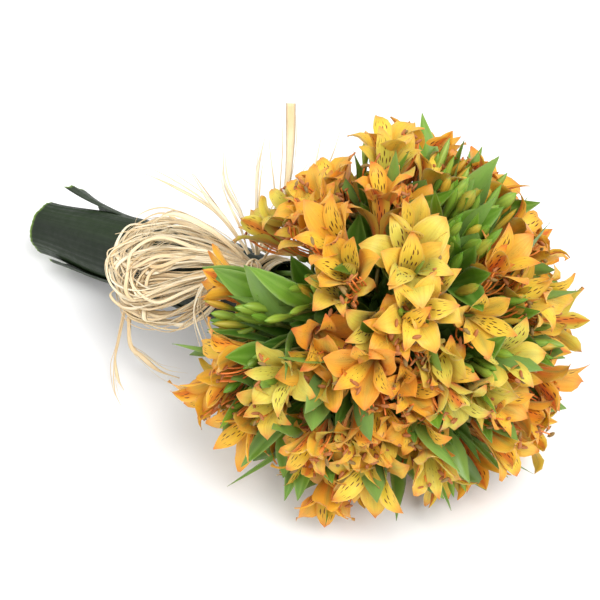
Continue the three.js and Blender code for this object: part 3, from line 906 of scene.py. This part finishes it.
def ribbon(shape, points, width, steps=36, twist=1.0, taper=False, facing=None):
    """A strip of raffia along points, thin and a little curled across, that turns over as it goes."""
    path = spline(points, steps)
    u = np.linspace(0, 1, steps)
    hint = rng.normal(size=3) if facing is None else np.cross(unit(path[-1] - path[0]), facing)
    _, side, upper = path_axes(path, hint)
    start = rng.uniform(0, 6) if facing is None else 0
    turn = start + twist * (np.sin(u * rng.uniform(2, 6) + rng.uniform(0, 6)) + 0.6 * u)
    a = np.cos(turn)[:, None] * side + np.sin(turn)[:, None] * upper
    b = np.cos(turn)[:, None] * upper - np.sin(turn)[:, None] * side
    half = width / 2 * (0.85 + 0.25 * np.sin(u * rng.uniform(5, 11) + rng.uniform(0, 6)))
    if taper:
        half = half * (1 - 0.75 * smooth(u, 0.55, 1.0))
    section = RIBBON_SECTION
    thick = np.minimum(half, 0.0009)
    grid = (
        path[:, None, :]
        + (half[:, None] * section[:, 0])[..., None] * a[:, None, :]
        + (thick[:, None] * 1.6 * section[:, 1])[..., None] * b[:, None, :]
    )
    sides = len(section)
    index = np.arange(steps * sides).reshape(steps, sides)
    nxt = np.roll(index, -1, axis=1)
    quads = [np.stack([index[:-1], nxt[:-1], nxt[1:], index[1:]], axis=-1).reshape(-1, 4)]
    for row, flip in ((index[0], True), (index[-1], False)):
        caps = np.array([[row[1], row[2], row[6], row[7]], [row[2], row[3], row[5], row[6]]])
        quads.append(caps[:, ::-1] if flip else caps)
    other = STRAW_DARK if rng.random() < 0.45 else STRAW_PALE
    colour = mix(STRAW, other, np.array(rng.random() * 0.8))
    bands = 0.5 * smooth(np.sin(u * 9 + rng.uniform(0, 6)), 0.3, 1.0)
    colour = np.repeat(mix(colour, STRAW_DARK, bands), sides, axis=0)
    coord = np.zeros((steps * sides, 3))
    coord[:, 0] = np.tile(section[:, 0], steps) + rng.uniform(0, 50)
    coord[:, 1] = np.repeat(u, sides) * 1.5
    shape.add(grid.reshape(-1, 3), np.concatenate(quads), colour, coord)


band = Shape()
for n in range(17):
    shift = (n - 8) / 8 * BAND_WIDTH * 0.46
    turns = np.linspace(0, 2 * math.pi, 33)
    wobble = 0.0012 * np.sin(turns + rng.uniform(0, 6)) + 0.0006 * np.sin(3 * turns + rng.uniform(0, 6))
    turns = turns + rng.uniform(0, 6)
    under = 0.0014 * np.maximum(0, np.cos(turns - math.pi))
    behind = 0.0018 * np.maximum(0, np.cos(turns - math.radians(76)))
    at_knot = 0.0032 * np.maximum(0, np.cos(turns - KNOT_TURN)) ** 8
    radius = BAND_RADIUS - 0.0028 + under - behind + at_knot + rng.uniform(-0.0006, 0.0014)
    points = round_axis(HANDLE_LENGTH + shift + wobble, radius, turns)
    ribbon(band, points, rng.uniform(0.0018, 0.0032), steps=70, twist=0.15)
finish_piece(band.build("raffia_band_turns", RAFFIA), "raffia", "raffia_band")

bow = Shape()
LOOPS = (
    [
        [8, -5, 2], [39, -12, 5], [67, -13, 8], [92, -12, 7], [111, -4, 4], [117, 9, 0],
        [113, 22, -4], [92, 28, -2], [71, 16, 0], [42, 4, 1], [6, 0, 1],
    ],
    [
        [8, -3, 1], [49, -1, 4], [94, 4, 5], [113, 22, 1], [115, 33, -6],
        [101, 45, -12], [77, 48, -14], [55, 34, -10], [29, 14, -4], [6, 1, 0],
    ],
    [
        [6, -1, 0], [40, 20, -8], [80, 30, -14], [99, 41, -22], [99, 48, -28],
        [87, 52, -34], [64, 46, -38], [44, 34, -31], [24, 19, -16], [6, 2, -2],
    ],
    [
        [7, -2, 1], [44, 6, 3], [86, 18, 2], [104, 34, -6], [100, 46, -18],
        [82, 50, -22], [58, 40, -18], [32, 22, -8], [6, 1, -1],
    ],
)
for n in range(84):
    kind = LOOPS[n % 4]
    points = np.array(kind, float)
    far = smooth(points[:, 0], 0, 60)
    points[:, 0] *= rng.uniform(0.7, 1.0) if n % 3 else rng.uniform(0.9, 1.05)
    points[:, 1] = points[:, 1] * rng.uniform(0.85, 1.06) + rng.uniform(-5, 3) * far
    points[:, 2] = points[:, 2] * rng.uniform(0.85, 1.06) + rng.uniform(-2, 5) * far
    points += rng.normal(size=points.shape) * np.minimum(1.8, 0.028 * points[:, :1])
    ribbon(bow, from_knot(points), rng.choice([0.0013, 0.002, 0.003, 0.0042]), steps=48, twist=0.45)
for n in range(14):
    bend, end = rng.uniform(0, 40), rng.uniform(0, 44)
    path = np.array([[5, 0, 0], [40, 2 + 3 * n % 31, 4 - 1.5 * n], [70, bend, 0], [96, end, -8]], float)
    path[2:, 2] = 6 - 0.6 * path[2:, 1] + rng.uniform(-3, 4, 2)
    path[1, 1:] = path[2, 1:] * 0.5
    ribbon(bow, from_knot(path), rng.uniform(0.001, 0.002), steps=36, twist=0.5, taper=True)
for n in range(9):
    u = np.linspace(0, 2 * math.pi, 14)
    spin = rng.normal(size=3)
    a = unit(np.cross(spin, ALONG + 0.3 * rng.normal(size=3)))
    b = unit(np.cross(a, spin))
    ring = KNOT + 0.0062 * (np.cos(u)[:, None] * a + np.sin(u)[:, None] * b) * rng.uniform(0.7, 1.1)
    ribbon(bow, ring, rng.uniform(0.002, 0.0036), steps=30, twist=0.3)
finish_piece(bow.build("raffia_bow_loops", RAFFIA), "raffia", "raffia_bow")

# The way the studio's camera lies from the bouquet.
CAMERA_AZIMUTH, CAMERA_ELEVATION, CAMERA_DISTANCE = math.radians(33.3), math.radians(45.3), 0.95
CAMERA_AWAY = np.array(
    (
        math.sin(CAMERA_AZIMUTH) * math.cos(CAMERA_ELEVATION),
        -math.cos(CAMERA_AZIMUTH) * math.cos(CAMERA_ELEVATION),
        math.sin(CAMERA_ELEVATION),
    )
)

TAILS = {
    "raffia_tail_floor_wide": (
        [[88, 51, -33], [86, 60, -53], [79, 59, -64], [70, 55, -78], [60, 46, -90]],
        0.005,
    ),
    "raffia_tail_floor_thin": (
        [[92, 48, -26], [97, 63, -54], [100, 68, -68], [96, 74, -80], [91, 76, -88]],
        0.003,
    ),
    "raffia_tail_near": (
        [[9, 9, 4], [20, 26, 6], [26, 42, -12], [26, 44, -45], [20, 44, -76], [16, 44, -90]],
        0.0024,
    ),
    "raffia_tail_arch": ([[9, -2, 6], [34, -2, 24], [62, 1, 34], [80, 6, 26], [90, 12, 10]], 0.0046),
    "raffia_tail_level": ([[11, -6, 9], [36, -7, 16], [64, -4, 22], [84, 2, 20], [102, 8, 16]], 0.004),
    "raffia_tail_back_low": ([[7, -6, 8], [38, -14, 32], [72, -14, 46], [100, -12, 54]], 0.0024),
    "raffia_tail_back_mid": ([[4, -3, 10], [18, -6, 30], [38, -10, 48], [52, -16, 60]], 0.003),
    "raffia_tail_back_high": ([[2, -7, 9], [12, -14, 34], [24, -18, 56], [30, -30, 74]], 0.003),
    "raffia_tail_up_thin": ([[-2, -4, 10], [-2, -14, 38], [2, -30, 64], [0, -46, 88]], 0.0026),
    "raffia_tail_up_wide": (
        [[-3, -10, 9], [-10, -28, 28], [-17, -36, 54], [-18, -47, 80], [-16, -59, 106]],
        0.0062,
    ),
    "raffia_tail_far_mid": ([[2, -10, 5], [4, -38, 22], [-2, -60, 34], [-4, -82, 42]], 0.0022),
    "raffia_tail_far_long": ([[-3, -10, 3], [-8, -44, 18], [-6, -80, 34], [4, -112, 46]], 0.0024),
}
for name, (points, width) in TAILS.items():
    shape = Shape()
    wide = name == "raffia_tail_up_wide"
    twist = 0.0 if wide else 0.5
    ribbon(shape, from_knot(points), width, steps=48, twist=twist, taper=not wide, facing=CAMERA_AWAY)
    for _ in range(3):
        stray = np.array(points, float)
        share = np.linspace(0, 1, len(stray))[:, None]
        stray = stray + share * rng.normal(size=3) * 9 + rng.normal(size=stray.shape) * 1.2 * share
        if "floor" in name or "near" in name:
            stray[:, 2] = np.maximum(stray[:, 2], np.array(points)[:, 2])
        ribbon(shape, from_knot(stray), rng.uniform(0.0009, 0.0018), steps=48, twist=0.6, taper=True)
    finish_piece(shape.build(f"{name}_strip", RAFFIA), "raffia", name)

# ---------------------------------------------------------------- floor, light and camera


def floor_and_light():
    g = Graph("studio_floor")
    place = g.add("ShaderNodeTexCoord").outputs["Object"]
    g.finish(g.mix(g.noise(place, 6.0), (0.93, 0.93, 0.93), (0.95, 0.95, 0.95)), 0.6)
    bpy.ops.mesh.primitive_plane_add(size=12, location=(0, 0, 0))
    floor = bpy.context.object
    floor.name = "floor"
    floor.data.materials.append(g.material)
    world = bpy.data.worlds.new("studio")
    bpy.context.scene.world = world
    world.use_nodes = True
    background = world.node_tree.nodes["Background"]
    background.inputs[0].default_value = (1, 1, 1, 1)
    background.inputs[1].default_value = 0.85

    def area(name, place, target, size, power):
        light = bpy.data.lights.new(name, "AREA")
        light.size = size
        light.energy = power
        lamp = bpy.data.objects.new(name, light)
        lamp.location = place
        lamp.rotation_euler = (Vector(target) - Vector(place)).to_track_quat("-Z", "Y").to_euler()
        bpy.context.scene.collection.objects.link(lamp)

    area("key", (0.9, -0.3, 1.6), (0.05, 0, 0.1), 1.0, 26)
    area("fill", (-1.2, -1.1, 1.3), (0, 0, 0.1), 1.6, 12)


def camera():
    target = Vector((0.024, 0, 0.08))
    away = Vector(CAMERA_AWAY)
    data = bpy.data.cameras.new("camera")
    data.lens = 77.7
    data.sensor_width = 36
    eye = bpy.data.objects.new("camera", data)
    eye.location = target + CAMERA_DISTANCE * away
    eye.rotation_euler = (-away).to_track_quat("-Z", "Y").to_euler()
    bpy.context.scene.collection.objects.link(eye)
    bpy.context.scene.camera = eye


floor_and_light()
camera()
bpy.context.scene.view_settings.view_transform = "Standard"
